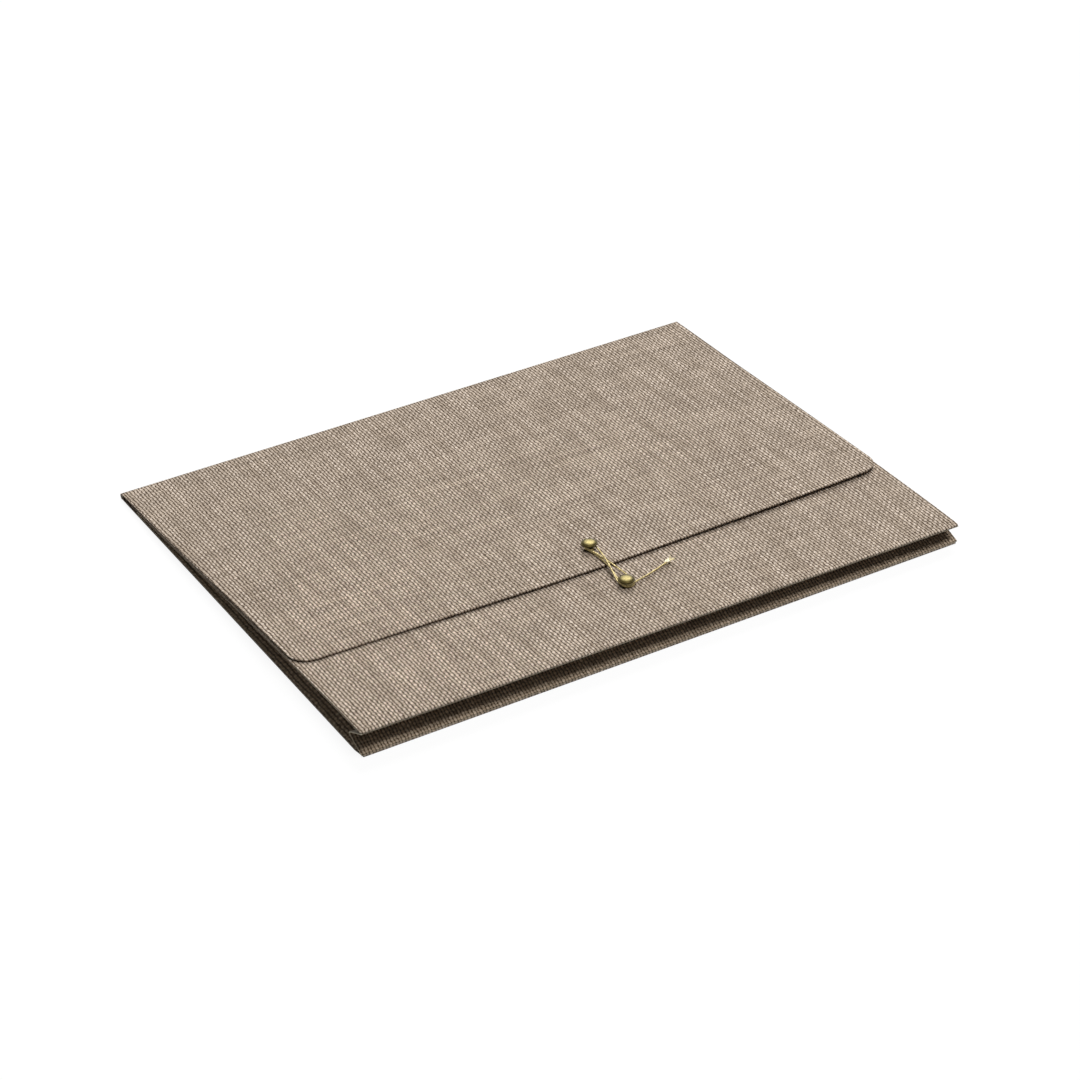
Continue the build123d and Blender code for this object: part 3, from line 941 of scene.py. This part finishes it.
def frontBellows():
    half, thick = halfWidth - bellows["inset"], bellows["thick"]
    xs = np.linspace(-half, half, bellows["cols"])
    even = np.linspace(-1, 1, bellows["rows"])
    v = np.sign(even) * np.abs(even) ** bellows["crowd"]
    high = (pivotZ - thick / 2 - settling["twist"] * xs / halfWidth)[None]
    low = board + thick / 2
    lift = bellows["lift"] * (1 - xs / halfWidth)[None] / (1 - bellows["liftAt"])
    inward, height = vSection(v[:, None], bellows["reach"], low, high, lift)
    y = frontY + bellows["setBack"] + inward + 0 * height
    middle = np.stack([xs[None] + 0 * height, y, height], -1)
    down = np.gradient(middle, axis=0)
    down /= np.linalg.norm(down, axis=-1)[..., None]
    normals = np.cross(np.array([1.0, 0, 0]), down)  # points out of the V
    uv = np.stack(np.meshgrid(xs, runOf(middle[:, bellows["cols"] // 2]), indexing="xy"), -1)
    materials = [shadedClothBellows, liningPaper, cardCore]
    return makeStrip("frontBellows", middle, normals, thick, uv, materials, 2)


gusset = frontBellows()
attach(gusset, "back")
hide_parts("front_bellows_lower", "front_bellows_upper")

# Side bellows: a lower and an upper leaf on each side, narrowing with the wedge between the
# panels, cut on the slant at both ends. Across each leaf the height goes from the panel to near
# the middle by a power of the way in, which bows it.
bellowsEnd = boxMm("left_bellows_lower")[1][1]
leafSize = {
    "thick": 0.3, "reach": 13.2, "lap": 4.0, "inset": 0.2, "bow": 1.15, "rows": 90, "cols": 22,
    "apart": 0.55,  # of the thickness, from the middle height to a leaf's inner edge
}
tabSize = {"thick": 0.3, "edge": 0.08, "rows": 60, "cols": 8}


def sideLeaf(name, sign, upper):
    across = np.linspace(0, 1, leafSize["cols"])[None]
    along = np.linspace(0, 1, leafSize["rows"])[:, None]
    thick, apart = leafSize["thick"], leafSize["apart"]
    inward = leafSize["reach"] * across
    yStart = frontY + leafSize["lap"] + inward
    y = yStart + (bellowsEnd - inward - yStart) * along
    x = sign * (halfWidth - leafSize["inset"] - inward) + np.zeros_like(y)
    roof = pivotZ - (y - frontY) * math.tan(frontTilt) - tabSize["thick"]
    roof = settleTop(np.stack([sign * (halfWidth - inward) + np.zeros_like(y), y, roof], -1))[..., 2]
    middleZ = (board + roof) / 2
    bow = 1 - (1 - across) ** leafSize["bow"]
    if upper:
        z = roof - thick / 2 + (middleZ + apart * thick - roof + thick / 2) * bow
    else:
        z = board + thick / 2 + (middleZ - apart * thick - board - thick / 2) * bow
    middle = np.stack([x, y, z], -1)
    normals = np.cross(np.gradient(middle, axis=1), np.gradient(middle, axis=0))
    normals /= np.linalg.norm(normals, axis=-1)[..., None]
    outer = np.sign(normals[..., 2:3]) * (-1 if upper else 1)
    uv = np.stack([inward + np.zeros_like(y), y], -1)
    materials = [shadedClothBellows, liningPaper, cardCore]
    leaf = makeStrip(name, middle, normals * outer, thick, uv, materials, 2)
    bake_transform(leaf)
    return leaf


for side, sign in (("left", -1), ("right", 1)):
    for level in ("lower", "upper"):
        leaf = sideLeaf(f"{side}Bellows{level.capitalize()}", sign, level == "upper")
        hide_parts(f"{side}_bellows_{level}")
    tabLow, tabHigh = boxMm(f"{side}_glue_tab")
    tab = makeSheet(f"{side}GlueTab", {
        **tabSize, "half": (tabHigh[0] - tabLow[0]) / 2, "middle": (tabHigh[0] + tabLow[0]) / 2,
        "start": tabLow[1] - frontY, "length": tabHigh[1] - frontY, "lift": -tabSize["thick"],
    }, placeFront, [shadedClothBellows])
    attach(tab, "front")
    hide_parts(f"{side}_glue_tab")
print("bellows made")

# Stud heads: a profile turned about the post, flat below, with a rolled rim, half a circle, and a
# low dome, a power of the ellipse. Their UVs hold the share left free of painted shade: one less
# the square of the radius on the dome, nought on the rim.
head = {
    "radius": 4.0, "height": 1.65, "rim": 0.35, "around": 96, "rimSteps": 9, "domeSteps": 26,
    "domeFrom": 1.15,  # rim radii in from the edge
    "domeFoot": 0.92,  # of the rim's height
    "domePower": 0.9,
}


def studHead(name, node, tilt):
    low, high = boxMm(node)
    axis = np.array([0, math.sin(tilt), math.cos(tilt)])
    foot = (low + high) / 2 - axis * head["height"] / 2
    a = np.linspace(-math.pi / 2, math.pi / 2, head["rimSteps"])
    inner = head["radius"] - head["rim"]
    rim = np.stack([inner + head["rim"] * np.cos(a), head["rim"] * (1 + np.sin(a))], 1)
    r = np.linspace(head["radius"] - head["rim"] * head["domeFrom"], 0, head["domeSteps"])
    awayFromRim = np.clip(1 - (r / inner) ** 2, 0, 1)
    top = 2 * head["rim"] * head["domeFoot"]
    dome = np.stack([r, top + (head["height"] - top) * np.sqrt(awayFromRim) ** head["domePower"]], 1)
    dome[0, 1] = top
    profile = np.concatenate([[[0, 0]], rim, dome])
    profile[0, 0] = profile[-1, 0] = 1e-4
    turn = np.linspace(0, 2 * math.pi, head["around"], endpoint=False)
    sideways = np.array([1.0, 0, 0])
    ring = np.cos(turn)[:, None] * sideways + np.sin(turn)[:, None] * np.cross(axis, sideways)
    points = foot + profile[:, None, :1] * ring[None] + profile[:, None, 1:] * axis
    rows, cols = len(profile), len(turn)
    quads = gridQuads(rows, cols, closed=True)
    unshadedShare = np.concatenate([np.zeros(1 + len(rim)), awayFromRim])
    uv = np.stack([np.repeat(unshadedShare, cols), np.zeros(rows * cols)], 1)
    first, last = np.arange(cols)[None], ((rows - 1) * cols + np.arange(cols))[None, ::-1]
    blocks = [(quads, uv[quads], 0), (first[:, ::-1], uv[first], 0), (last[:, ::-1], uv[last], 0)]
    return makePiece(name, points, blocks, [agedBrassWithPaintedShade])


for name, place, tilt in (("frontStudHead", "front", frontTilt), ("flapStudHead", "flap", flapTilt)):
    piece = studHead(name, f"{place}_stud_head", tilt)
    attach(piece, place)
    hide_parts(f"{place}_stud_head")
    # Posts and washers have no Sheet UVs, so the painted shade colour covers them all over.
    for part in ("post", "washer"):
        node = frame["nodes"][f"{place}_stud_{part}"]
        node.data.materials.clear()
        node.data.materials.append(agedBrassWithPaintedShade)
print("studs made")


# One for rays that look at the background, nought for light that bounces off it
def seenShare(tree):
    rays = tree.nodes.new("ShaderNodeLightPath").outputs
    looked = calc(tree, "MAXIMUM", rays["Is Camera Ray"], rays["Is Glossy Ray"])
    return calc(tree, "MAXIMUM", looked, rays["Is Transmission Ray"])


# Floor: white to the camera and in reflections, darker for light that bounces
floorSize = {"half": 4, "below": 0.0002, "bounced": 0.30, "seen": 0.12, "glow": 0.905}
far = floorSize["half"]
corners = [(-far, -far, 0), (far, -far, 0), (far, far, 0), (-far, far, 0)]
floorMesh = bpy.data.meshes.new("floor")
floorMesh.from_pydata(corners, [], [(0, 1, 2, 3)])
floor = bpy.data.objects.new("floor", floorMesh)
floor.location = (0, 0, -floorSize["below"])
bpy.context.scene.collection.objects.link(floor)
floorMaterial, tree, shader = newMaterial("paleFloor")
seen = seenShare(tree)
grey = span(tree, seen, 0, 1, floorSize["bounced"], floorSize["seen"])
tree.links.new(combine(tree, grey, grey, grey), shader.inputs["Base Color"])
shader.inputs["Roughness"].default_value = 1.0
shader.inputs["Specular IOR Level"].default_value = 0.0
shader.inputs["Emission Color"].default_value = (1, 1, 1, 1)
tree.links.new(calc(tree, "MULTIPLY", seen, floorSize["glow"]), shader.inputs["Emission Strength"])
floorMesh.materials.append(floorMaterial)

# Sky: white where it's looked at, and for light a pale grey that is brighter overhead
sky = {"upTo": 0.9, "level": 0.01, "overhead": 0.15}
world = bpy.data.worlds.new("studio")
bpy.context.scene.world = world
world.use_nodes = True
tree = world.node_tree
background = tree.nodes["Background"]
seen = seenShare(tree)
way = tree.nodes.new("ShaderNodeTexCoord")
height = separate(tree, way.outputs["Generated"])[2]
glow = span(tree, height, 0.0, sky["upTo"], sky["level"], sky["overhead"])
bounced = calc(tree, "MULTIPLY", glow, calc(tree, "SUBTRACT", 1.0, seen))
tree.links.new(calc(tree, "ADD", bounced, seen), background.inputs["Strength"])
background.inputs["Color"].default_value = (1, 1, 1, 1)


def softPanel(name, place, size, power):
    light = bpy.data.lights.new(name, "AREA")
    light.shape = "DISK"
    light.size = size
    light.energy = power
    lamp = bpy.data.objects.new(name, light)
    lamp.location = place
    lamp.rotation_euler = (-Vector(place)).to_track_quat("-Z", "Y").to_euler()
    bpy.context.scene.collection.objects.link(lamp)


# Lights: a broad soft panel behind and above on the right, and a small weak one above the front
softPanel("keyPanel", place=(1.55, 2.25, 2.6), size=2.0, power=107)
softPanel("topPanel", place=(0.05, -0.37, 1.2), size=0.5, power=8.0)
bpy.context.scene.view_settings.view_transform = "Standard"
print("stage set")
